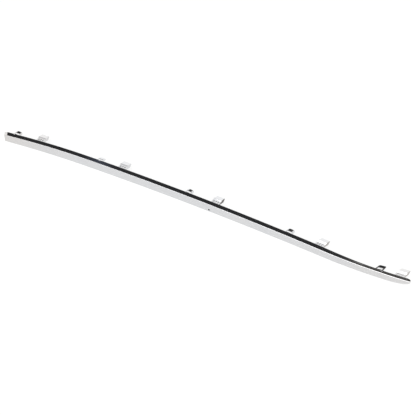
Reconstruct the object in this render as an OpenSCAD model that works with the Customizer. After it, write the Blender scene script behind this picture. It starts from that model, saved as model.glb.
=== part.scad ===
// Bumper trim strip: one chromed plastic moulding, about a metre long.
// The front face stands upright along -Y, the ledge closes the top and a short return closes the
// bottom. The tabs point backwards from the ledge, along +Y. The left end is blunt, the right end
// runs out in a nose. Every place along the strip is measured in X from the left end.

/* [Strip] */
// Length, end to end in a straight line
strip_len = 1000; // [900:5:1150]
// Height of the face where it is tallest
face_h = 22.1; // [19:0.5:30]
// Where the face is tallest, from the left end
crown_at = 220; // [120:5:360]
// How much lower the face is at the left end
left_drop = 3.2; // [0:0.2:5]
// How much lower the face is where the nose starts
right_drop = 5.6; // [0:0.2:8]
// Thickness of the face, the ledge and the return
wall = 2.5; // [1.8:0.1:3]
// Depth of the return along the bottom, over the wall included
return_d = 7.5; // [6:0.5:9]
// How much further the top dips over the last stretch before the tip
tip_dip = 1.4; // [0:0.1:2]
// Length of that stretch
tip_dip_len = 80; // [50:5:120]

/* [Ledge] */
// Depth of the ledge at the left end
ledge_left_d = 11.8; // [10:0.1:16]
// Depth of the ledge where it starts to narrow
ledge_mid_d = 11.2; // [9:0.1:14]
// Depth of the ledge near the nose
ledge_nose_d = 8.2; // [6:0.1:9.4]
// Where the ledge starts to narrow
narrow_from = 780; // [650:5:850]
// Where the ledge has narrowed
narrow_to = 925; // [865:5:940]

/* [Plan curve] */
// Radius of the tight bend at the left end
left_bend_r = 2450; // [1500:50:4500]
// Length of that bend
left_bend_len = 220; // [80:5:300]
// Radius of the long, nearly straight middle
middle_bend_r = 7900; // [5000:100:14000]
// Radius of the bend that sweeps the right end back
right_bend_r = 1100; // [700:20:2200]
// Length of that bend
right_bend_len = 190; // [80:5:300]

/* [Edges and ends] */
// Rounding between the face and the ledge
edge_r = 0.6; // [0.4:0.1:1.4]
// Rounding between the face and the return
lower_edge_r = 1; // [0.5:0.1:1.6]
// Rounding of the left end, top and bottom
end_r = 1.6; // [1:0.1:3]
// Length over which the ledge ramps down to the left end
end_ramp_len = 8; // [4:0.5:12]
// How far that ramp falls
end_ramp_fall = 1.5; // [0:0.1:2.5]
// Slant of the left end: how far it runs out per length of depth
end_slant = 0.5; // [0:0.05:0.6]
// Length over which the nose rises from the floor
nose_len = 46; // [36:1:50]
// Height of the face at the tip of the nose
tip_h = 2.2; // [1.8:0.1:4]
// Depth of the ledge at the tip of the nose
tip_d = 3; // [2.6:0.1:4.5]
// Length over which the ledge rounds in to that depth
tip_round_len = 9; // [5:0.5:14]
// Solid length at the right end, ahead of which the hollow back starts
solid_nose_len = 54; // [50:1:70]

/* [Snap tabs] */
// Centre of the first snap tab
snap_1_x = 90; // [75:1:120]
// Centre of the second snap tab
snap_2_x = 308; // [280:1:330]
// Centre of the third snap tab
snap_3_x = 546; // [500:1:580]
// Centre of the fourth snap tab
snap_4_x = 796; // [750:1:810]
// Distance of the last snap tab from the tip
last_snap_from_tip = 25; // [20:1:34]
// Width of a snap tab at its foot
snap_w = 20.5; // [18:0.5:26]
// Width of a snap tab at its tip
snap_tip_w = 17.5; // [15:0.5:18]
// How far a snap tab stands out behind the ledge
snap_len = 22.5; // [20:0.5:28]
// Thickness of the tabs
tab_t = 2; // [1.2:0.1:2.2]
// Length of the low foot of a snap tab
snap_foot_len = 7.5; // [6.5:0.5:9]
// How far the foot rises from the ledge towards the head
snap_foot_rise = 2; // [1:0.1:2.4]
// How far the snap tab's head steps up from its foot
snap_step = 2.2; // [1:0.1:2.6]
// How far the head falls towards its tip
snap_fall = 3; // [2:0.1:4]
// How far the barbed cheeks reach below the foot
barb_h = 5; // [2:0.5:7]
// Length of the barbs' steep catch at the tip
barb_catch = 4.5; // [3:0.5:6]
// Length of the barbs' flat lower edge
barb_flat = 3; // [1:0.5:4]
// Thickness of a cheek
cheek_t = 2.2; // [1.4:0.1:3]
// Width of each pocket in the foot
pocket_w = 2.8; // [1.5:0.1:3.4]
// Length of each pocket in the foot
pocket_len = 4; // [3:0.5:4.5]
// Angle by which a tab at the left end would lean towards the nose
lean_left = 5; // [0:1:10]
// Angle by which a tab at the tip would lean towards the nose
lean_tip = 23; // [5:1:26]

/* [Loop tabs] */
// Centre of the first loop tab
loop_1_x = 27; // [20:1:45]
// Centre of the second loop tab
loop_2_x = 249; // [200:1:255]
// Centre of the third loop tab
loop_3_x = 478; // [400:1:490]
// Centre of the fourth loop tab
loop_4_x = 724; // [640:1:730]
// Distance of the last loop tab from the tip
last_loop_from_tip = 68; // [60:1:80]
// Width of a loop tab
loop_w = 17; // [14:0.5:20]
// How far a loop tab stands out behind the ledge
loop_len = 13; // [11:0.5:17]
// Width of a loop tab's legs
loop_leg = 3; // [2:0.1:3.5]
// Depth of the window in a loop tab
window_d = 5.6; // [4.5:0.1:7]

/* [Hole] */
// Place of the small round hole in the face
hole_at = 537; // [500:1:600]
// Height of the hole above the floor
hole_z = 5.4; // [4.6:0.1:9]
// Diameter of the hole
hole_d = 3.2; // [2:0.1:3.6]

/* [Hidden] */
// Tabs sit this much below the ledge's top and reach this far into it.
tab_sink = 0.25;
tab_root = 2;
// Small setbacks that keep the tabs' faces apart, and the blunting of the tabs' tips
cheek_in = 0.5;
tip_round = 0.8;
foot_sink = 0.4;
pocket_from = 1.2;
pocket_floor = 0.7;
window_from = 0.8;
loop_taper = 2;
loop_chamfer = 1.5;
// Exponent of the face's fall to the right, straighter than a parabola
fall_power = 1.7;
// Length over which the sections turn from the left end's slant to square
slant_fade = 24;
// Spacing of the sections along the strip, and the length of a sharp change between two of them
section_step = 14;
sharp = 0.05;
nose_start = strip_len - nose_len;
hollow_from = end_ramp_len + sharp;
hollow_to = strip_len - solid_nose_len;
right_bend_from = strip_len - right_bend_len;
snap_places = [snap_1_x, snap_2_x, snap_3_x, snap_4_x, strip_len - last_snap_from_tip];
loop_places = [loop_1_x, loop_2_x, loop_3_x, loop_4_x, strip_len - last_loop_from_tip];

function ease(t) = let (u = min(1, max(0, t))) u * u * (3 - 2 * u);
function past(x, from) = max(0, x - from);

// Plan curve of the face's foot: three bends that meet smoothly, with both ends at Y = 0.
// A bend as shallow as these is a parabola to a few hundredths of a millimetre.
function bend_y(x) = -(x * x / left_bend_r
    + pow(past(x, left_bend_len), 2) * (1 / middle_bend_r - 1 / left_bend_r)
    - pow(past(x, right_bend_from), 2) * (1 / middle_bend_r + 1 / right_bend_r)) / 2;
function bend_slope(x) = -(x / left_bend_r
    + past(x, left_bend_len) * (1 / middle_bend_r - 1 / left_bend_r)
    - past(x, right_bend_from) * (1 / middle_bend_r + 1 / right_bend_r));
function foot_y(x) = bend_y(x) - bend_y(strip_len) * x / strip_len;
function heading(x) = atan(bend_slope(x) - bend_y(strip_len) / strip_len);

// Rounding of the left end: how far the outline has drawn in at x
function end_round(x) = x >= end_r ? 0 : end_r - sqrt(end_r * end_r - pow(end_r - x, 2));
// Fall of the ramp at x
function end_ramp(x) = end_ramp_fall * max(0, 1 - x / end_ramp_len);
// Share of a quarter ellipse's rise, over the given length before the tip
function ellipse_rise(x, length) =
    1 - sqrt(max(0, 1 - pow(past(x, strip_len - length) / length, 2)));

// Height of the ledge's top, and of the face's foot, above the floor
function crown_z(x) = x < crown_at
    ? face_h - left_drop * pow(1 - x / crown_at, 2)
    : face_h - right_drop * pow((x - crown_at) / (nose_start - crown_at), fall_power);
function top_z(x) = crown_z(min(x, nose_start)) - end_round(x) - end_ramp(x)
    - tip_dip * ease(past(x, strip_len - tip_dip_len) / tip_dip_len);
function low_z(x) = end_round(x)
    + (crown_z(nose_start) - tip_dip - tip_h) * ellipse_rise(x, nose_len);

// Depth of the ledge, and of the return under it
function full_ledge_d(x) = x < narrow_from
    ? ledge_left_d + (ledge_mid_d - ledge_left_d) * x / narrow_from
    : ledge_mid_d + (ledge_nose_d - ledge_mid_d)
        * ease((x - narrow_from) / (narrow_to - narrow_from));
function ledge_d(x) = full_ledge_d(x)
    + (tip_d - full_ledge_d(x)) * ellipse_rise(x, tip_round_len);
function return_depth(x) = min(return_d, ledge_d(x) - 0.4);
function hollow(x) = x >= hollow_from + sharp && x <= hollow_to - sharp;

// Outline of the section at x, from the foot up the face, over the ledge and back along the hollow
function section(x) = let (
    top = top_z(x),
    low = low_z(x),
    d = ledge_d(x),
    back = return_depth(x),
    t = min(wall, (top - low) * 0.3),
    up_r = min(edge_r, t * 0.7),
    down_r = min(lower_edge_r, t * 0.5),
    inner = hollow(x) ? wall : back - 0.4
) [
    for (a = [270:-30:180]) [down_r + down_r * cos(a), low + down_r + down_r * sin(a)],
    for (a = [180:-22.5:90]) [up_r + up_r * cos(a), top - up_r + up_r * sin(a)],
    [d, top], [d, top - t], [inner, top - t], [inner, low + t], [back, low + t], [back, low]
];
section_size = 15;

// Places of the sections: close together round the ends and at the hollow's end walls
middle_steps = ceil((hollow_to - hollow_from - 2 * sharp) / section_step);
places = [
    for (a = [0:22.5:90]) end_r * (1 - cos(a)),
    (end_r + end_ramp_len) / 2, end_ramp_len,
    hollow_from,
    for (i = [0:middle_steps])
        hollow_from + sharp + (hollow_to - hollow_from - 2 * sharp) * i / middle_steps,
    hollow_to,
    for (a = [0:15:90]) nose_start + (nose_len - tip_round_len) * sin(a),
    for (a = [15:15:90]) strip_len - tip_round_len * (1 - sin(a))
];

// A point of the section at x, turned square to the plan curve. The ramp keeps the left end's
// slant, and the sections turn square behind it.
function placed(x, p) = let (
    h = heading(x),
    slant = end_slant * (1 - ease(past(x, end_ramp_len) / slant_fade))
)
    [x - p[0] * (sin(h) + slant), foot_y(x) + p[0] * cos(h), p[1]];
function corner(i, j) = i * section_size + j % section_size;
// Closes an end: a fan from the hollow's foot, with the ledge and the return beside it. Corner 0 to
// round run from the foot up to the ledge, and the others follow in the section's own order.
function end_faces(i, first) = let (
    foot = section_size - 1, lip = foot - 1, floor = lip - 1, roof = floor - 1,
    under = roof - 1, back = under - 1, round = back - 1
) [
    for (f = [
        for (j = [0:round - 1]) [floor, j, j + 1],
        [floor, round, roof], [roof, round, back], [roof, back, under],
        [floor, lip, foot], [floor, foot, 0]
    ]) first ? [corner(i, f[2]), corner(i, f[1]), corner(i, f[0])]
             : [corner(i, f[0]), corner(i, f[1]), corner(i, f[2])]
];

// The strip itself: one skin swept through all the sections
module bar() {
    last = len(places) - 1;
    polyhedron(
        points = [for (x = places, p = section(x)) placed(x, p)],
        faces = [
            for (f = end_faces(0, true)) f,
            for (f = end_faces(last, false)) f,
            for (i = [0:last - 1], j = [0:section_size - 1], half = [0, 1]) half == 0
                ? [corner(i, j), corner(i, j + 1), corner(i + 1, j + 1)]
                : [corner(i, j), corner(i + 1, j + 1), corner(i + 1, j)]
        ],
        convexity = 6
    );
}

// Lean of a tab at x, as the share of its depth by which it runs out towards the nose
function lean(x) = tan(lean_left + (lean_tip - lean_left) * pow(x / strip_len, 3));

// Puts a tab on the ledge, its foot along the plan curve, its origin on the back edge at the top
module on_ledge(x) {
    translate([x, foot_y(x), 0])
        rotate([0, 0, heading(x)])
            translate([0, ledge_d(x), top_z(x) - tab_sink])
                multmatrix([[1, lean(x), 0, 0], [0, 1, 0, 0], [0, 0, 1, 0]])
                    children();
}

// Extrudes a side view, drawn with Y to the back and Z up, to a width across the middle
module across(w) {
    translate([-w / 2, 0, 0])
        rotate([90, 0, 90])
            linear_extrude(w) children();
}

// Plan of a snap tab, narrower towards its tip and drawn in by the given margin at both sides
module snap_plan(margin) {
    polygon([
        [-snap_w / 2 + margin, -tab_root], [-snap_w / 2 + margin, 0],
        [-snap_tip_w / 2 + margin, snap_len], [snap_tip_w / 2 - margin, snap_len],
        [snap_w / 2 - margin, 0], [snap_w / 2 - margin, -tab_root]
    ]);
}

// Snap tab: a foot with pockets, a head that steps up and falls to its tip, and two barbed cheeks
module snap_tab() {
    foot_z = -foot_sink;
    knee_z = foot_z + snap_foot_rise;
    head_z = knee_z + snap_step;
    tip_z = head_z - snap_fall;
    head_from = snap_foot_len + snap_step;
    barb_at = snap_len - tip_round - barb_catch;
    deep = tab_t + barb_h;
    difference() {
        intersection() {
            union() {
                across(snap_w) polygon([
                    [-tab_root, foot_z], [0, foot_z], [snap_foot_len, knee_z], [head_from, head_z],
                    [snap_len - tip_round, tip_z], [snap_len, tip_z - tip_round],
                    [snap_len, tip_z - tab_t], [head_from + cheek_in, head_z - tab_t],
                    [snap_foot_len + cheek_in, knee_z - tab_t], [0, foot_z - tab_t],
                    [-tab_root, foot_z - tab_t]
                ]);
                difference() {
                    across(snap_w) polygon([
                        [cheek_in, foot_z - cheek_in], [snap_foot_len, knee_z - cheek_in],
                        [head_from, head_z - cheek_in], [snap_len - cheek_in, tip_z - tip_round],
                        [snap_len - cheek_in, -tab_t - tip_round], [barb_at, -deep],
                        [barb_at - barb_flat, -deep + cheek_in], [cheek_in, foot_z - tab_t]
                    ]);
                    translate([0, 0, -2 * deep]) linear_extrude(4 * deep) snap_plan(cheek_t);
                }
            }
            translate([0, 0, -2 * deep]) linear_extrude(4 * deep) snap_plan(0);
        }
        for (i = [-1:1])
            translate([i * (snap_w - 2 * cheek_t) / 3, pocket_from + pocket_len / 2, 0])
                translate([0, 0, foot_z - tab_t + pocket_floor + deep / 2])
                    cube([pocket_w, pocket_len, deep], center = true);
    }
}

// Loop tab: a flat frame round a window, narrower towards its tip
module loop_tab() {
    tip_w = loop_w - loop_taper;
    translate([0, 0, -tab_t]) linear_extrude(tab_t) difference() {
        polygon([
            [-loop_w / 2, -tab_root], [-loop_w / 2, window_from], [-tip_w / 2, loop_len - loop_chamfer],
            [-tip_w / 2 + loop_chamfer, loop_len], [tip_w / 2 - loop_chamfer, loop_len],
            [tip_w / 2, loop_len - loop_chamfer], [loop_w / 2, window_from], [loop_w / 2, -tab_root]
        ]);
        translate([-loop_w / 2 + loop_leg, window_from]) square([loop_w - 2 * loop_leg, window_d]);
    }
}

module trim_strip() {
    color([0.82, 0.83, 0.84]) difference() {
        union() {
            bar();
            for (x = snap_places) on_ledge(x) snap_tab();
            for (x = loop_places) on_ledge(x) loop_tab();
        }
        translate([hole_at, foot_y(hole_at) + wall, hole_z])
            rotate([90, 0, 0]) cylinder(h = 4 * wall, d = hole_d, center = true, $fn = 48);
    }
}

// The origin lies on the floor at mid-length, under the middle of the return.
translate([-strip_len / 2, -foot_y(strip_len / 2) - return_d / 2, 0]) trim_strip();
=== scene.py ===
# Chromed bumper trim strip, lying on its return on a plain white studio floor.
# Sizes are in millimetres; MM turns them into metres. Those of the strip, its tabs and its hole repeat
# the solid model's, apart from WALL and those that a comment gives to this script alone.
# Places along the strip are measured in X from its left end.
import math

import bmesh
import bpy
from mathutils import Matrix, Vector


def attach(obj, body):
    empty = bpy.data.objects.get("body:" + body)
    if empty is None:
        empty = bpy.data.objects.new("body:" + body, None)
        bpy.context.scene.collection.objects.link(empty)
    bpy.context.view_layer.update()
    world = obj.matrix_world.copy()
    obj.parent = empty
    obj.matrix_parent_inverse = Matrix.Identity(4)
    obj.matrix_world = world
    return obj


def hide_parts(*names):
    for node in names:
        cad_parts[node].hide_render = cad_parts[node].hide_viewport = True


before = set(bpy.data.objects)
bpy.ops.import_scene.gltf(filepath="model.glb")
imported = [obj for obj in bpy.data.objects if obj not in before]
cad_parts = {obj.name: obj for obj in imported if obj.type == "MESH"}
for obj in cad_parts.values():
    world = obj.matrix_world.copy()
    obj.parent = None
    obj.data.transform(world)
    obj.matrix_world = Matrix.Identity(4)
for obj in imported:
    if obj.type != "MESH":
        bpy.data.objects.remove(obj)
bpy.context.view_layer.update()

MM = 0.001

# Strip
STRIP_LEN = 1000.0
FACE_H = 22.1
CROWN_AT = 220.0
LEFT_DROP = 3.2
RIGHT_DROP = 5.6
FALL_POWER = 1.7
# Half a millimetre thinner than the solid's wall, which is 2.5
WALL = 2.0
RETURN_D = 7.5
TIP_DIP = 1.4
TIP_DIP_LEN = 80.0

# Ledge
LEDGE_LEFT_D = 11.8
LEDGE_MID_D = 11.2
LEDGE_NOSE_D = 8.2
NARROW_FROM = 780.0
NARROW_TO = 925.0

# Shallow groove along the middle of the ledge, near the nose, in this script alone
GROOVE_FROM = 868.0
GROOVE_TO = 908.0
GROOVE_FADE = 10.0
GROOVE_W = 2.2
GROOVE_DEEP = 0.14
# Most of the ledge's depth that half the groove may take
GROOVE_SHARE = 0.15

# Plan curve
LEFT_BEND_R = 2450.0
LEFT_BEND_LEN = 220.0
MIDDLE_BEND_R = 7900.0
RIGHT_BEND_R = 1100.0
RIGHT_BEND_LEN = 190.0

# Edges and ends
EDGE_R = 0.6
LOWER_EDGE_R = 1.0
END_R = 1.6
END_RAMP_LEN = 8.0
END_RAMP_FALL = 1.5
END_SLANT = 0.5
SLANT_FADE = 24.0
NOSE_LEN = 46.0
TIP_H = 2.2
TIP_D = 3.0
TIP_ROUND_LEN = 9.0
SOLID_NOSE_LEN = 54.0
SHARP = 0.05
# Where the section gets small: the wall as a share of the height, the front roundings as shares of the wall
THIN_WALL_SHARE = 0.3
LOWER_EDGE_SHARE = 0.5
EDGE_SHARE = 0.7
# How far the return stays short of the ledge
RETURN_SHORT = 0.4
# Depth of the step at the back of the section where the strip is solid
SOLID_STEP = 0.4

# Ends and edges in this script alone: roundings of the back edges, the hollow's inner corners and the
# tip, how much of the left end's rounding the face and the ledge's back edge take, and the return's
# least depth
BACK_EDGE_R = 0.3
INNER_R = 0.8
TIP_R = 0.8
END_FACE_SHARE = 0.7
END_BACK_SHARE = 0.5
LEAST_RETURN_D = 0.6

# Snap tabs
SNAP_PLACES = (90.0, 308.0, 546.0, 796.0, STRIP_LEN - 25.0)
SNAP_W = 20.5
SNAP_TIP_W = 17.5
SNAP_LEN = 22.5
TAB_T = 2.0
SNAP_FOOT_LEN = 7.5
SNAP_FOOT_RISE = 2.0
SNAP_STEP = 2.2
SNAP_FALL = 3.0
BARB_H = 5.0
BARB_CATCH = 4.5
BARB_FLAT = 3.0
CHEEK_T = 2.2
POCKET_W = 2.8
POCKET_LEN = 4.0
POCKET_FROM = 1.2
POCKET_FLOOR = 0.7
FOOT_SINK = 0.4
LEAN_LEFT = 5.0
LEAN_TIP = 23.0
TAB_SINK = 0.25
TAB_ROOT = 2.0
CHEEK_IN = 0.5
TAB_TIP_ROUND = 0.8

# Loop tabs
LOOP_PLACES = (27.0, 249.0, 478.0, 724.0, STRIP_LEN - 68.0)
LOOP_W = 17.0
LOOP_LEN = 13.0
LOOP_LEG = 3.0
LOOP_TAPER = 2.0
LOOP_CHAMFER = 1.5
WINDOW_D = 5.6
WINDOW_FROM = 0.8
# How each loop tab lies, in this script alone: its backward fall in degrees, the radius of its
# crown and the crown's highest place
LOOP_LIES = (
    (2.0, 25.0, -3.5),
    (12.0, 40.0, 0.0),
    (5.0, 30.0, -3.0),
    (3.0, 40.0, -2.0),
    (0.0, 120.0, 10.0),
)
LOOP_STEPS = 16

# Rounded edges of all tabs, in this script alone
TAB_EDGE_R = 0.3

# Hole in the face
HOLE_AT = 537.0
HOLE_Z = 5.4
HOLE_D = 3.2
DRILL_SIDES = 48
# Countersink, in this script alone; it and the hole's bore are painted dark as shade
SINK_D = 4.3
SINK_DEEP = 0.8

# Mesh fineness
STATION_STEP = 4.0
ARC_STEPS = 6
END_STEPS, RAMP_STEPS, NOSE_STEPS = 8, 4, 14
# Most of a side that one rounding may take, and how far a support point lies beyond its arc
ROUNDING_SHARE = 0.42
SUPPORT = 0.35
# Sections beside the ramp's end: the last one before it, and one after the two where the hollow starts
RAMP_END_BEFORE = 0.3
RAMP_END_AFTER = 0.4
# The even sections keep this far from the ramp and from the solid nose
HOLLOW_END_GAP = 1.0
# How far a cutting shape reaches past what it cuts
OVERSHOOT = 1.0
# Angles in degrees over which an edge is bevelled, and over which it is shaded sharp
BEVEL_ANGLE = 25
SHARP_ANGLE = 30

# Choice of faces for the painted shade and the side materials: how squarely a face looks along an axis, and
# how far from the hole, a pocket's floor or the tab's side it may lie
FACING = 0.9
SINK_MARGIN = 1.02
POCKET_MARGIN = 0.1
SIDE_MARGIN = 0.5

NOSE_START = STRIP_LEN - NOSE_LEN
HOLLOW_FROM = END_RAMP_LEN + SHARP
HOLLOW_TO = STRIP_LEN - SOLID_NOSE_LEN
RIGHT_BEND_FROM = STRIP_LEN - RIGHT_BEND_LEN


def ease(t):
    u = min(1.0, max(0.0, t))
    return u * u * (3 - 2 * u)


def past(x, start):
    return max(0.0, x - start)


# Plan curve of the face's foot
def bend_y(x):
    return -(
        x * x / LEFT_BEND_R
        + past(x, LEFT_BEND_LEN) ** 2 * (1 / MIDDLE_BEND_R - 1 / LEFT_BEND_R)
        - past(x, RIGHT_BEND_FROM) ** 2 * (1 / MIDDLE_BEND_R + 1 / RIGHT_BEND_R)
    ) / 2


def bend_slope(x):
    return -(
        x / LEFT_BEND_R
        + past(x, LEFT_BEND_LEN) * (1 / MIDDLE_BEND_R - 1 / LEFT_BEND_R)
        - past(x, RIGHT_BEND_FROM) * (1 / MIDDLE_BEND_R + 1 / RIGHT_BEND_R)
    )


def foot_y(x):
    return bend_y(x) - bend_y(STRIP_LEN) * x / STRIP_LEN


def heading(x):
    return math.atan(bend_slope(x) - bend_y(STRIP_LEN) / STRIP_LEN)


def quarter_round(distance, radius):
    """How far an outline has drawn in at that distance from its end, for a rounding of that radius."""
    if distance >= radius:
        return 0.0
    return radius - math.sqrt(max(0.0, radius**2 - (radius - distance) ** 2))


def end_ramp(x):
    return END_RAMP_FALL * max(0.0, 1 - x / END_RAMP_LEN)


def ellipse_rise(x, length):
    return 1 - math.sqrt(max(0.0, 1 - (past(x, STRIP_LEN - length) / length) ** 2))


# Heights of the ledge's top and of the face's foot
def crown_z(x):
    if x < CROWN_AT:
        return FACE_H - LEFT_DROP * (1 - x / CROWN_AT) ** 2
    return FACE_H - RIGHT_DROP * ((x - CROWN_AT) / (NOSE_START - CROWN_AT)) ** FALL_POWER


def top_z(x):
    dip = TIP_DIP * ease(past(x, STRIP_LEN - TIP_DIP_LEN) / TIP_DIP_LEN)
    return crown_z(min(x, NOSE_START)) - quarter_round(x, END_R) - end_ramp(x) - dip


def low_z(x):
    rise = (crown_z(NOSE_START) - TIP_DIP - TIP_H) * ellipse_rise(x, NOSE_LEN)
    return quarter_round(x, END_R) + rise


# Depths of the ledge and of the return
def full_ledge_d(x):
    if x < NARROW_FROM:
        return LEDGE_LEFT_D + (LEDGE_MID_D - LEDGE_LEFT_D) * x / NARROW_FROM
    narrowed = ease((x - NARROW_FROM) / (NARROW_TO - NARROW_FROM))
    return LEDGE_MID_D + (LEDGE_NOSE_D - LEDGE_MID_D) * narrowed


def ledge_d(x):
    full = full_ledge_d(x)
    return full + (TIP_D - full) * ellipse_rise(x, TIP_ROUND_LEN)


def support_reach(side, reach):
    """Distance of a support point from its corner: at most half way from the arc to the side's middle."""
    return reach + min(SUPPORT, (side.length / 2 - reach) / 2)


def rounded(corners):
    """Closed outline through (point, radius) corners: each is an arc with a support point either side.

    The support points keep the flats between the arcs flat under smooth shading.
    """
    outline = []
    for i, (corner, radius) in enumerate(corners):
        here = Vector(corner)
        back = Vector(corners[i - 1][0]) - here
        ahead = Vector(corners[(i + 1) % len(corners)][0]) - here
        room = ROUNDING_SHARE * min(back.length, ahead.length)
        back_dir, ahead_dir = back.normalized(), ahead.normalized()
        half = back_dir.angle(ahead_dir) / 2
        reach = min(radius / math.tan(half), room)
        arc_r = reach * math.tan(half)
        centre = here + (back_dir + ahead_dir).normalized() * arc_r / math.sin(half)
        start = here + back_dir * reach - centre
        turn = math.pi - 2 * half
        if start.x * back_dir.y - start.y * back_dir.x > 0:
            turn = -turn
        outline.append(here + back_dir * support_reach(back, reach))
        for k in range(ARC_STEPS + 1):
            a = turn * k / ARC_STEPS
            across = Vector(
                (
                    start.x * math.cos(a) - start.y * math.sin(a),
                    start.x * math.sin(a) + start.y * math.cos(a),
                )
            )
            outline.append(centre + across)
        outline.append(here + ahead_dir * support_reach(ahead, reach))
    return outline


def section(x):
    """Outline of the strip across its length, as (depth, height) points."""
    left_in = quarter_round(x, END_R)
    tip_in = quarter_round(STRIP_LEN - x, TIP_R)
    top, low = top_z(x) - tip_in, low_z(x) + tip_in
    front = END_FACE_SHARE * left_in + tip_in
    deep = ledge_d(x) - END_BACK_SHARE * left_in - tip_in
    t = min(WALL, (top - low) * THIN_WALL_SHARE)
    back = max(front + LEAST_RETURN_D, min(RETURN_D, deep - RETURN_SHORT))
    hollow = HOLLOW_FROM + SHARP <= x <= HOLLOW_TO - SHARP
    inner = WALL if hollow else back - SOLID_STEP
    outline = rounded(
        [
            ((front, low), min(LOWER_EDGE_R, t * LOWER_EDGE_SHARE)),
            ((front, top), min(EDGE_R, t * EDGE_SHARE)),
            ((deep, top), BACK_EDGE_R),
            ((deep, top - t), BACK_EDGE_R),
            ((inner, top - t), INNER_R),
            ((inner, low + t), INNER_R),
            ((back, low + t), BACK_EDGE_R),
            ((back, low), BACK_EDGE_R),
        ]
    )
    middle = (front + deep) / 2
    reach = min(GROOVE_W / 2, GROOVE_SHARE * (deep - front))
    fades = ease((x - GROOVE_FROM) / GROOVE_FADE), ease((GROOVE_TO - x) / GROOVE_FADE)
    groove_z = top - GROOVE_DEEP * fades[0] * fades[1]
    groove = [(middle - reach, top), (middle, groove_z), (middle + reach, top)]
    points_per_corner = ARC_STEPS + 3
    ledge_at = 2 * points_per_corner
    return outline[:ledge_at] + [Vector(spot) for spot in groove] + outline[ledge_at:]


ORIGIN = Vector((STRIP_LEN / 2, foot_y(STRIP_LEN / 2) + RETURN_D / 2, 0.0))


def placed(x, depth, height):
    """A point of the section at x in the frame, in metres."""
    h = heading(x)
    slant = END_SLANT * (1 - ease(past(x, END_RAMP_LEN) / SLANT_FADE))
    point = Vector((x - depth * (math.sin(h) + slant), foot_y(x) + depth * math.cos(h), height))
    return (point - ORIGIN) * MM


def on_ledge(x, fall=0.0):
    """Matrix that sets a tab on the ledge: its foot along the plan curve, its origin on the back edge.

    The tab leans towards the nose near the tip, and falls backwards by an angle in degrees.
    """
    where = Vector((x, foot_y(x), 0.0))
    turn = Matrix.Rotation(heading(x), 4, "Z")
    seat = Matrix.Translation((0.0, ledge_d(x), top_z(x) - TAB_SINK))
    shear = Matrix.Identity(4)
    lean = LEAN_LEFT + (LEAN_TIP - LEAN_LEFT) * (x / STRIP_LEN) ** 3
    shear[0][1] = math.tan(math.radians(lean))
    shear[2][1] = -math.tan(math.radians(fall))
    return Matrix.Scale(MM, 4) @ Matrix.Translation(where - ORIGIN) @ turn @ seat @ shear


def stations():
    """Places of the sections: even along the middle, close together at both ends."""
    spots = [END_R * (1 - math.cos(math.radians(90 * k / END_STEPS))) for k in range(END_STEPS + 1)]
    ramp_end = END_RAMP_LEN - RAMP_END_BEFORE
    spots += [END_R + (ramp_end - END_R) * k / RAMP_STEPS for k in range(1, RAMP_STEPS + 1)]
    spots += [HOLLOW_FROM, HOLLOW_FROM + SHARP, END_RAMP_LEN + RAMP_END_AFTER]
    middle_from, middle_to = END_RAMP_LEN + HOLLOW_END_GAP, HOLLOW_TO - HOLLOW_END_GAP
    middle_steps = math.ceil((middle_to - middle_from) / STATION_STEP)
    for k in range(middle_steps + 1):
        spots.append(middle_from + (middle_to - middle_from) * k / middle_steps)
    spots += [HOLLOW_TO - SHARP, HOLLOW_TO]
    solid_steps = math.ceil((NOSE_START - HOLLOW_TO) / STATION_STEP)
    spots += [HOLLOW_TO + (NOSE_START - HOLLOW_TO) * k / solid_steps for k in range(1, solid_steps + 1)]
    round_from = STRIP_LEN - TIP_ROUND_LEN
    for k in range(1, NOSE_STEPS + 1):
        spots.append(NOSE_START + (round_from - NOSE_START) * math.sin(math.pi / 2 * k / NOSE_STEPS))
    cap_from = STRIP_LEN - TIP_R
    for k in range(1, NOSE_STEPS + 1):
        spots.append(round_from + (cap_from - round_from) * math.sin(math.pi / 2 * k / NOSE_STEPS))
    for k in range(1, END_STEPS + 1):
        spots.append(cap_from + TIP_R * math.sin(math.pi / 2 * k / END_STEPS))
    return spots


def new_piece(name, points, faces):
    mesh = bpy.data.meshes.new(name)
    mesh.from_pydata([tuple(p) for p in points], [], faces)
    shell = bmesh.new()
    shell.from_mesh(mesh)
    bmesh.ops.recalc_face_normals(shell, faces=shell.faces[:])
    shell.to_mesh(mesh)
    shell.free()
    piece = bpy.data.objects.new(name, mesh)
    bpy.context.scene.collection.objects.link(piece)
    return piece


def baked(piece):
    """Applies a piece's modifiers to its mesh."""
    depsgraph = bpy.context.evaluated_depsgraph_get()
    mesh = bpy.data.meshes.new_from_object(piece.evaluated_get(depsgraph))
    worn = piece.data
    piece.modifiers.clear()
    piece.data = mesh
    bpy.data.meshes.remove(worn)
    mesh.name = piece.name
    return piece


def combined(piece, others, operation):
    """Joins other closed shapes to a piece, or cuts them from it, and deletes them."""
    for other in others:
        modifier = piece.modifiers.new("shape", "BOOLEAN")
        modifier.object = other
        modifier.operation = operation
        modifier.solver = "EXACT"
    baked(piece)
    for other in others:
        bpy.data.objects.remove(other)
    return piece


def softened(piece):
    modifier = piece.modifiers.new("edges", "BEVEL")
    modifier.width = TAB_EDGE_R
    modifier.segments = 2
    modifier.limit_method = "ANGLE"
    modifier.angle_limit = math.radians(BEVEL_ANGLE)
    return baked(piece)


def smooth(piece):
    """Smooth shading that keeps large faces flat up to the roundings round them."""
    piece.data.shade_smooth()
    piece.data.set_sharp_from_angle(angle=math.radians(SHARP_ANGLE))
    if not piece.data.materials:
        piece.data.materials.append(None)
    modifier = piece.modifiers.new("flats", "WEIGHTED_NORMAL")
    modifier.weight = 100
    modifier.keep_sharp = True
    return baked(piece)


def tube_faces(count):
    """Faces of a closed tube between two rings of that many points."""
    faces = [tuple(range(count)), tuple(reversed(range(count, 2 * count)))]
    faces += [(k, (k + 1) % count, count + (k + 1) % count, count + k) for k in range(count)]
    return faces


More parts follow.
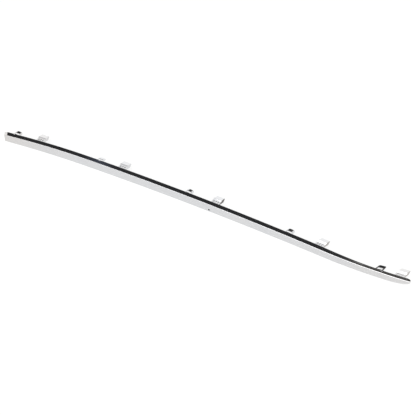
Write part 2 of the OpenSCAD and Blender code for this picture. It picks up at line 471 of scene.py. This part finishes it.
def prism(name, outline, low_x, high_x):
    """Closed block: a side view of (Y, Z) points, drawn out from low_x to high_x."""
    points = [(x, y, z) for x in (low_x, high_x) for y, z in outline]
    return new_piece(name, points, tube_faces(len(outline)))


def plate(name, outline, low, high):
    """Closed block: a plan of (X, Y) points, drawn up from low to high."""
    points = [(x, y, z) for z in (low, high) for x, y in outline]
    return new_piece(name, points, tube_faces(len(outline)))


def block(name, low, size):
    x, y, z = low
    plan = [(x, y), (x + size[0], y), (x + size[0], y + size[1]), (x, y + size[1])]
    return plate(name, plan, z, z + size[2])


# Which of a piece's materials a face wears; faces are PLATED unless something else is set. The second is
# painted shade in the hole and the pockets; the third is the side walls' material, which on some snap tabs
# is a painted reflection
PLATED, PAINTED_SHADE, SIDE = range(3)


def strip_body():
    spots = stations()
    sections = [section(x) for x in spots]
    size = len(sections[0])
    points = [placed(x, p.x, p.y) for x, outline in zip(spots, sections) for p in outline]
    faces = [tuple(range(size)), tuple(reversed(range(len(points) - size, len(points))))]
    for i in range(len(spots) - 1):
        for j in range(size):
            k = (j + 1) % size
            faces.append((i * size + j, i * size + k, (i + 1) * size + k, (i + 1) * size + j))
    body = new_piece("strip_body", points, faces)
    drill = new_piece("drill", *drill_shape())
    combined(body, [drill], "DIFFERENCE")
    smooth(body)
    axis = (Vector((HOLE_AT, foot_y(HOLE_AT) + WALL / 2, HOLE_Z)) - ORIGIN) * MM
    # The hole's bore and countersink get painted shade
    for face in body.data.polygons:
        off = face.center - axis
        off.y = 0.0
        if off.length < SINK_MARGIN * SINK_D / 2 * MM and abs(face.normal.y) < FACING:
            face.material_index = PAINTED_SHADE
    return body


def drill_shape():
    """A round bar through the face, flared towards the front, in the frame."""
    middle = Vector((HOLE_AT, foot_y(HOLE_AT), HOLE_Z)) - ORIGIN
    flare = SINK_D / 2 + OVERSHOOT * (SINK_D - HOLE_D) / 2 / SINK_DEEP
    rings = ((-OVERSHOOT, flare), (SINK_DEEP, HOLE_D / 2), (2 * WALL, HOLE_D / 2))
    sides = DRILL_SIDES
    points = []
    for y, radius in rings:
        for k in range(sides):
            a = 2 * math.pi * k / sides
            ring = Vector((radius * math.cos(a), y, radius * math.sin(a)))
            points.append((middle + ring) * MM)
    faces = [tuple(range(sides)), tuple(reversed(range(2 * sides, 3 * sides)))]
    for low in (0, sides):
        for k in range(sides):
            after = (k + 1) % sides
            faces.append((low + k, low + after, low + sides + after, low + sides + k))
    return points, faces


def snap_plan(margin):
    """Plan of a snap tab, narrower towards its tip and drawn in by the margin at both sides."""
    half, tip_half = SNAP_W / 2 - margin, SNAP_TIP_W / 2 - margin
    return [
        (-half, -TAB_ROOT),
        (-half, 0.0),
        (-tip_half, SNAP_LEN),
        (tip_half, SNAP_LEN),
        (half, 0.0),
        (half, -TAB_ROOT),
    ]


def snap_tab(name, x):
    """A foot with pockets, a head that steps up and falls to its tip, and two barbed cheeks."""
    half, tip_half = SNAP_W / 2, SNAP_TIP_W / 2
    foot_z, knee_z = -FOOT_SINK, SNAP_FOOT_RISE - FOOT_SINK
    head_z = knee_z + SNAP_STEP
    tip_z = head_z - SNAP_FALL
    head_from = SNAP_FOOT_LEN + SNAP_STEP
    barb_at = SNAP_LEN - TAB_TIP_ROUND - BARB_CATCH
    deep = TAB_T + BARB_H
    profile = [
        (-TAB_ROOT, foot_z),
        (0.0, foot_z),
        (SNAP_FOOT_LEN, knee_z),
        (head_from, head_z),
        (SNAP_LEN - TAB_TIP_ROUND, tip_z),
        (SNAP_LEN, tip_z - TAB_TIP_ROUND),
        (SNAP_LEN, tip_z - TAB_T),
        (head_from + CHEEK_IN, head_z - TAB_T),
        (SNAP_FOOT_LEN + CHEEK_IN, knee_z - TAB_T),
        (0.0, foot_z - TAB_T),
        (-TAB_ROOT, foot_z - TAB_T),
    ]
    cheek = [
        (CHEEK_IN, foot_z - CHEEK_IN),
        (SNAP_FOOT_LEN, knee_z - CHEEK_IN),
        (head_from, head_z - CHEEK_IN),
        (SNAP_LEN - CHEEK_IN, tip_z - TAB_TIP_ROUND),
        (SNAP_LEN - CHEEK_IN, -TAB_T - TAB_TIP_ROUND),
        (barb_at, -deep),
        (barb_at - BARB_FLAT, -deep + CHEEK_IN),
        (CHEEK_IN, foot_z - TAB_T),
    ]
    cheeks = prism("cheeks", cheek, -half - OVERSHOOT, half + OVERSHOOT)
    combined(cheeks, [plate("inside", snap_plan(CHEEK_T), -2 * deep, 2 * deep)], "DIFFERENCE")
    tab = prism(name, profile, -half - OVERSHOOT, half + OVERSHOOT)
    combined(tab, [cheeks], "UNION")
    combined(tab, [plate("outside", snap_plan(0.0), -2 * deep, 2 * deep)], "INTERSECT")
    floor_z = foot_z - TAB_T + POCKET_FLOOR
    pockets = []
    for i in (-1, 0, 1):
        left = i * (SNAP_W - 2 * CHEEK_T) / 3 - POCKET_W / 2
        pockets.append(block("pocket", (left, POCKET_FROM, floor_z), (POCKET_W, POCKET_LEN, deep)))
    combined(tab, pockets, "DIFFERENCE")
    softened(tab)
    # Pocket floors and walls get painted shade; the side walls get the side material, a painted reflection
    # on some tabs
    for face in tab.data.polygons:
        spot, normal = face.center, face.normal
        in_pocket = POCKET_FROM < spot.y < POCKET_FROM + POCKET_LEN and abs(spot.x) < half - CHEEK_T
        if in_pocket and floor_z - POCKET_MARGIN < spot.z < foot_z and normal.z > -POCKET_MARGIN:
            face.material_index = PAINTED_SHADE
        elif abs(normal.x) > FACING and abs(spot.x) > tip_half - SIDE_MARGIN:
            face.material_index = SIDE
    tab.data.transform(on_ledge(x))
    smooth(tab)
    return tab


def loop_tab(name, x, fall, crown_r, crown_x):
    """A slightly crowned frame round a window, narrower towards its tip."""
    half, tip_half = LOOP_W / 2, (LOOP_W - LOOP_TAPER) / 2
    width = LOOP_W + 2 * OVERSHOOT
    spots = [-half - OVERSHOOT + width * k / LOOP_STEPS for k in range(LOOP_STEPS + 1)]
    crown = [(spot, (crown_x - spot / 2) * spot / crown_r) for spot in spots]
    side = crown + [(spot, z - TAB_T) for spot, z in reversed(crown)]
    points = [(px, py, pz) for py in (-TAB_ROOT, LOOP_LEN + OVERSHOOT) for px, pz in side]
    tab = new_piece(name, points, tube_faces(len(side)))
    outline = [
        (-half, -2 * TAB_ROOT),
        (half, -2 * TAB_ROOT),
        (half, WINDOW_FROM),
        (tip_half, LOOP_LEN - LOOP_CHAMFER),
        (tip_half - LOOP_CHAMFER, LOOP_LEN),
        (LOOP_CHAMFER - tip_half, LOOP_LEN),
        (-tip_half, LOOP_LEN - LOOP_CHAMFER),
        (-half, WINDOW_FROM),
    ]
    combined(tab, [plate("outside", outline, -4 * TAB_T, TAB_T)], "INTERSECT")
    inner = half - LOOP_LEG
    window = block("window", (-inner, WINDOW_FROM, -4 * TAB_T), (2 * inner, WINDOW_D, 6 * TAB_T))
    combined(tab, [window], "DIFFERENCE")
    softened(tab)
    tab.data.transform(on_ledge(x, fall))
    smooth(tab)
    return tab


# Middle part of a noise's range that carries most of its contrast
NOISE_LOW, NOISE_HIGH = 0.3, 0.7


def noise(nodes, links, coords, scale, detail, roughness=0.5):
    texture = nodes.new("ShaderNodeTexNoise")
    texture.inputs["Scale"].default_value = scale
    texture.inputs["Detail"].default_value = detail
    texture.inputs["Roughness"].default_value = roughness
    links.new(coords, texture.inputs["Vector"])
    return texture.outputs["Fac"]


def mapped(nodes, links, value, low, high, from_low=NOISE_LOW, from_high=NOISE_HIGH):
    span = nodes.new("ShaderNodeMapRange")
    span.inputs["From Min"].default_value = from_low
    span.inputs["From Max"].default_value = from_high
    span.inputs["To Min"].default_value = low
    span.inputs["To Max"].default_value = high
    links.new(value, span.inputs["Value"])
    return span.outputs["Result"]


# Plating: two tones of each kind, and the tint at both ends and in the middle of the strip. Besides the
# plain plating, the kinds are dim and dark painted reflections for the snap tabs' side walls
BRIGHT_TONES = ((0.655, 0.662, 0.675), (0.675, 0.678, 0.682))
DIM_REFLECTION_TONES = ((0.4, 0.38, 0.36), (0.44, 0.42, 0.4))
DARK_REFLECTION_TONES = ((0.1, 0.09, 0.085), (0.13, 0.12, 0.11))
LEFT_TINT = (0.99, 0.96, 0.93, 1)
RIGHT_TINT = (1.0, 0.98, 0.96, 1)
MIDDLE_TINT = (0.995, 0.995, 1.0, 1)
MIDDLE_TINT_AT = (0.2, 0.75)
CLOUD_SCALE, CLOUD_DETAIL = 14.0, 3.0
SMEAR_SCALE, SMEAR_DETAIL, SMEAR_ROUGH = 60.0, 6.0, 0.6
PLATING_ROUGHNESS = (0.035, 0.085)
PEEL_SCALE, PEEL_DETAIL = 900.0, 2.0
PEEL_STRENGTH = 0.15
PEEL_HEIGHT = 0.00002

# Painted shade for the hole and the snap tabs' pockets: a dark colour, with a grain in its roughness
RECESS_SHADE_COLOUR = (0.02, 0.019, 0.018, 1)
GRAIN_SCALE, GRAIN_DETAIL = 400.0, 4.0
RECESS_SHADE_ROUGHNESS = (0.4, 0.6)


def chrome(name, dull, bright):
    """Chrome plating between two tones, with faint clouds, smears and a slight orange peel."""
    material = bpy.data.materials.new(name)
    material.use_nodes = True
    nodes, links = material.node_tree.nodes, material.node_tree.links
    surface = nodes["Principled BSDF"]
    surface.inputs["Metallic"].default_value = 1.0
    coords = nodes.new("ShaderNodeTexCoord").outputs["Object"]

    cloud = noise(nodes, links, coords, CLOUD_SCALE, CLOUD_DETAIL)
    tint = nodes.new("ShaderNodeValToRGB")
    tint.color_ramp.elements[0].position = NOISE_LOW
    tint.color_ramp.elements[0].color = (*dull, 1)
    tint.color_ramp.elements[1].position = NOISE_HIGH
    tint.color_ramp.elements[1].color = (*bright, 1)
    links.new(cloud, tint.inputs["Fac"])

    # The tint drifts along the strip: warm at both ends, cool in the middle
    split = nodes.new("ShaderNodeSeparateXYZ")
    links.new(coords, split.inputs["Vector"])
    half = STRIP_LEN / 2 * MM
    along = mapped(nodes, links, split.outputs["X"], 0.0, 1.0, -half, half)
    drift = nodes.new("ShaderNodeValToRGB")
    stops = drift.color_ramp.elements
    stops[0].color, stops[1].color = LEFT_TINT, RIGHT_TINT
    for position in MIDDLE_TINT_AT:
        stops.new(position).color = MIDDLE_TINT
    links.new(along, drift.inputs["Fac"])
    tinted = nodes.new("ShaderNodeMix")
    tinted.data_type = "RGBA"
    tinted.blend_type = "MULTIPLY"
    tinted.inputs["Factor"].default_value = 1.0
    sockets = [s for s in tinted.inputs if s.type == "RGBA"]
    links.new(tint.outputs["Color"], sockets[0])
    links.new(drift.outputs["Color"], sockets[1])
    out = next(s for s in tinted.outputs if s.type == "RGBA")
    links.new(out, surface.inputs["Base Color"])

    smear = noise(nodes, links, coords, SMEAR_SCALE, SMEAR_DETAIL, SMEAR_ROUGH)
    links.new(mapped(nodes, links, smear, *PLATING_ROUGHNESS), surface.inputs["Roughness"])

    peel = noise(nodes, links, coords, PEEL_SCALE, PEEL_DETAIL)
    bump = nodes.new("ShaderNodeBump")
    bump.inputs["Strength"].default_value = PEEL_STRENGTH
    bump.inputs["Distance"].default_value = PEEL_HEIGHT
    links.new(peel, bump.inputs["Height"])
    links.new(bump.outputs["Normal"], surface.inputs["Normal"])
    return material


def recess_shade():
    """Painted shade in the hole, its countersink and the snap tabs' pockets: a dark, rough surface."""
    material = bpy.data.materials.new("recess_shade")
    material.use_nodes = True
    nodes, links = material.node_tree.nodes, material.node_tree.links
    surface = nodes["Principled BSDF"]
    surface.inputs["Base Color"].default_value = RECESS_SHADE_COLOUR
    coords = nodes.new("ShaderNodeTexCoord").outputs["Object"]
    grain = noise(nodes, links, coords, GRAIN_SCALE, GRAIN_DETAIL)
    links.new(mapped(nodes, links, grain, *RECESS_SHADE_ROUGHNESS), surface.inputs["Roughness"])
    return material


CHROME = chrome("chrome_plating", *BRIGHT_TONES)
# Plating with painted dim and dark reflections, for the snap tabs' side walls
DIM_REFLECTION_CHROME = chrome("plating_painted_dim_reflection", *DIM_REFLECTION_TONES)
DARK_REFLECTION_CHROME = chrome("plating_painted_dark_reflection", *DARK_REFLECTION_TONES)
# Painted shade for the hole, its countersink and the pockets
RECESS_SHADE = recess_shade()
# Side walls of the snap tabs. The darker ones are painted reflections, standing in for reflections that
# this studio doesn't give.
SNAP_SIDES = (CHROME, CHROME, DARK_REFLECTION_CHROME, DIM_REFLECTION_CHROME, DIM_REFLECTION_CHROME)


def dressed(piece, side=CHROME):
    """Gives a piece its three materials: plating, painted shade, and that of its side walls, which on some
    snap tabs is a painted reflection.
    """
    picks = [face.material_index for face in piece.data.polygons]
    piece.data.materials.clear()
    for material in (CHROME, RECESS_SHADE, side):
        piece.data.materials.append(material)
    for face, pick in zip(piece.data.polygons, picks):
        face.material_index = pick
    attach(piece, "root")
    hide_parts("trim_strip")


dressed(strip_body())
for number, (place, side) in enumerate(zip(SNAP_PLACES, SNAP_SIDES), 1):
    dressed(snap_tab("snap_tab_%d" % number, place), side)
for number, (place, lie) in enumerate(zip(LOOP_PLACES, LOOP_LIES), 1):
    dressed(loop_tab("loop_tab_%d" % number, place, *lie))


# Floor
FLOOR_SIZE = 12.0
FLOOR_GLOW = 0.82
FLOOR_WHITE = 0.15


def floor():
    half = FLOOR_SIZE / 2
    corners = [(-half, -half, 0), (half, -half, 0), (half, half, 0), (-half, half, 0)]
    sheet = new_piece("floor", corners, [(0, 1, 2, 3)])
    material = bpy.data.materials.new("floor_white")
    material.use_nodes = True
    surface = material.node_tree.nodes["Principled BSDF"]
    surface.inputs["Base Color"].default_value = (FLOOR_WHITE, FLOOR_WHITE, FLOOR_WHITE, 1)
    surface.inputs["Roughness"].default_value = 1.0
    surface.inputs["Specular IOR Level"].default_value = 0.0
    surface.inputs["Emission Color"].default_value = (1, 1, 1, 1)
    surface.inputs["Emission Strength"].default_value = FLOOR_GLOW
    sheet.data.materials.append(material)


floor()


# Studio: a white sky with windows of other tones, each laid over the ones before it. Each has a side,
# its span in azimuth and in elevation, the softness of both, all in degrees, and its tone.
SKY_TONE = (1.1, 1.1, 1.1)
SKY_WINDOWS = {
    "glow": ("behind", (-70, 60), (-2, 28), (3, 3), (1.27, 1.27, 1.27)),
    "dim": ("front", (-60, -28), (-2, 75), (1.5, 8), (0.8, 0.8, 0.81)),
    "softbox": ("front", (-27.8, 40), (5, 86), (1.2, 4), (3.8, 3.8, 3.8)),
    "pale_flag": ("behind", (-20, -2), (38, 51), (1.0, 2), (0.1, 0.097, 0.094)),
    "flag": ("behind", (-54, -14.4), (33, 50), (1.0, 1.5), (0.034, 0.034, 0.036)),
    "gap": ("behind", (-36, -34.8), (34, 47), (0.7, 2), (0.08, 0.09, 0.12)),
}


def smooth_step(nodes, links, value, start, end):
    span = nodes.new("ShaderNodeMapRange")
    span.interpolation_type = "SMOOTHSTEP"
    span.inputs["From Min"].default_value = start
    span.inputs["From Max"].default_value = end
    links.new(value, span.inputs["Value"])
    return span.outputs["Result"]


def maths(nodes, links, operation, *values):
    node = nodes.new("ShaderNodeMath")
    node.operation = operation
    for socket, value in zip(node.inputs, values):
        if isinstance(value, (int, float)):
            socket.default_value = value
        else:
            links.new(value, socket)
    return node.outputs["Value"]


def window_share(nodes, links, azimuth, elevation, az_span, el_span, softness):
    """1 inside a window of the sky, 0 outside it, soft at its edges. Spans and softness in degrees."""
    product = None
    for value, span, soft in zip((azimuth, elevation), (az_span, el_span), softness):
        low, high = (math.radians(a) for a in span)
        blur = math.radians(soft)
        rise = smooth_step(nodes, links, value, low - blur, low + blur)
        fall = smooth_step(nodes, links, value, high + blur, high - blur)
        both = maths(nodes, links, "MULTIPLY", rise, fall)
        product = both if product is None else maths(nodes, links, "MULTIPLY", product, both)
    return product


def blended(nodes, links, share, under, over):
    mix = nodes.new("ShaderNodeMix")
    mix.data_type = "RGBA"
    sockets = [s for s in mix.inputs if s.type == "RGBA"]
    links.new(share, mix.inputs["Factor"])
    for socket, value in zip(sockets, (under, over)):
        if isinstance(value, tuple):
            socket.default_value = (*value, 1)
        else:
            links.new(value, socket)
    return next(s for s in mix.outputs if s.type == "RGBA")


def studio():
    world = bpy.data.worlds.new("studio")
    world.use_nodes = True
    bpy.context.scene.world = world
    nodes, links = world.node_tree.nodes, world.node_tree.links
    backdrop = nodes["Background"]
    coords = nodes.new("ShaderNodeTexCoord").outputs["Generated"]
    split = nodes.new("ShaderNodeSeparateXYZ")
    links.new(coords, split.inputs["Vector"])
    x, y, z = (split.outputs[axis] for axis in "XYZ")
    elevation = maths(nodes, links, "ARCSINE", z)
    behind = maths(nodes, links, "ARCTAN2", x, y)
    front = maths(nodes, links, "ARCTAN2", x, maths(nodes, links, "MULTIPLY", y, -1.0))
    azimuths = {"behind": behind, "front": front}
    tone = SKY_TONE
    for side, az_span, el_span, softness, over in SKY_WINDOWS.values():
        share = window_share(nodes, links, azimuths[side], elevation, az_span, el_span, softness)
        tone = blended(nodes, links, share, tone, over)
    links.new(tone, backdrop.inputs["Color"])
    backdrop.inputs["Strength"].default_value = 1.0


studio()


# Camera
LENS = 86.75
SENSOR = 36.0
CAMERA_AZIMUTH = 27.324
CAMERA_ELEVATION = 44.0
CAMERA_DISTANCE = 2199.92
CAMERA_TARGET = (28.47, 5.03, 0.0)
CLIP_NEAR, CLIP_FAR = 0.05, 50.0


def camera():
    data = bpy.data.cameras.new("camera")
    data.lens = LENS
    data.sensor_width = SENSOR
    data.clip_start = CLIP_NEAR
    data.clip_end = CLIP_FAR
    eye = bpy.data.objects.new("camera", data)
    bpy.context.scene.collection.objects.link(eye)
    azimuth, elevation = math.radians(CAMERA_AZIMUTH), math.radians(CAMERA_ELEVATION)
    back = Vector(
        (
            math.sin(azimuth) * math.cos(elevation),
            -math.cos(azimuth) * math.cos(elevation),
            math.sin(elevation),
        )
    )
    eye.location = (Vector(CAMERA_TARGET) + back * CAMERA_DISTANCE) * MM
    eye.rotation_euler = (-back).to_track_quat("-Z", "Y").to_euler()
    bpy.context.scene.camera = eye


camera()

bpy.context.scene.view_settings.view_transform = "Standard"
bpy.context.scene.view_settings.look = "None"
